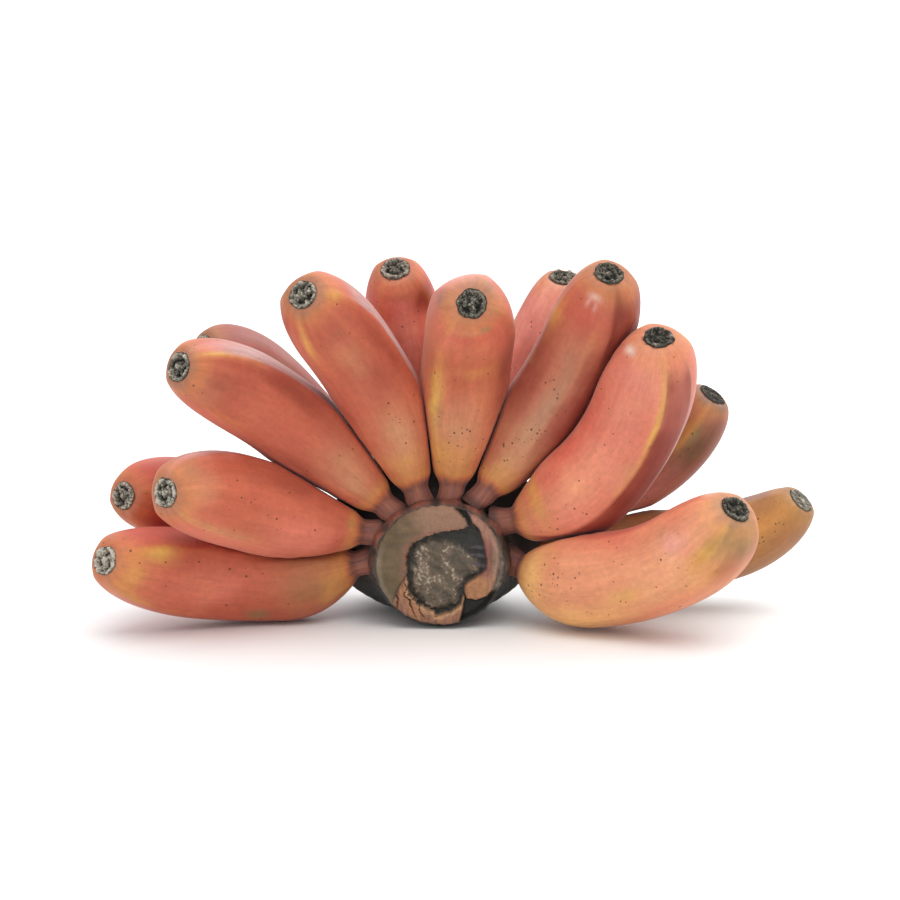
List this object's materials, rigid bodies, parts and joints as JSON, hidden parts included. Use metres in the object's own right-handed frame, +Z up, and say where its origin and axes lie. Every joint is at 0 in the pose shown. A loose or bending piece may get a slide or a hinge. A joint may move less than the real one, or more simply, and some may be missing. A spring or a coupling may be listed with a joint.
{
  "type": "hand of red bananas",
  "caption": "Hand of short, plump red bananas fanned round a cut piece of stalk and lying on its underside, tips curling to the front.",
  "frame": {"origin": "middle of the hand's footprint, on the surface that it lies on", "axes": "+X across the fan to the right, +Y from the cut face of the stalk towards the back row, +Z up"},
  "size_m": [0.3422, 0.1302, 0.1754],
  "materials": {
    "banana_skin": "smooth, soft satin peel, salmon red with ochre patches",
    "rachis": "dull, fibrous cut stalk with a dark crown"
  },
  "bodies": {
    "root": {"stalk": "rachis", "finger_front_1": "banana_skin", "finger_front_2": "banana_skin", "finger_front_3": "banana_skin", "finger_front_4": "banana_skin", "finger_front_5": "banana_skin", "finger_front_6": "banana_skin", "finger_front_7": "banana_skin", "finger_front_8": "banana_skin", "finger_back_1": "banana_skin", "finger_back_2": "banana_skin", "finger_back_3": "banana_skin", "finger_back_4": "banana_skin", "finger_back_5": "banana_skin", "finger_back_6": "banana_skin"}
  },
  "joints": []
}
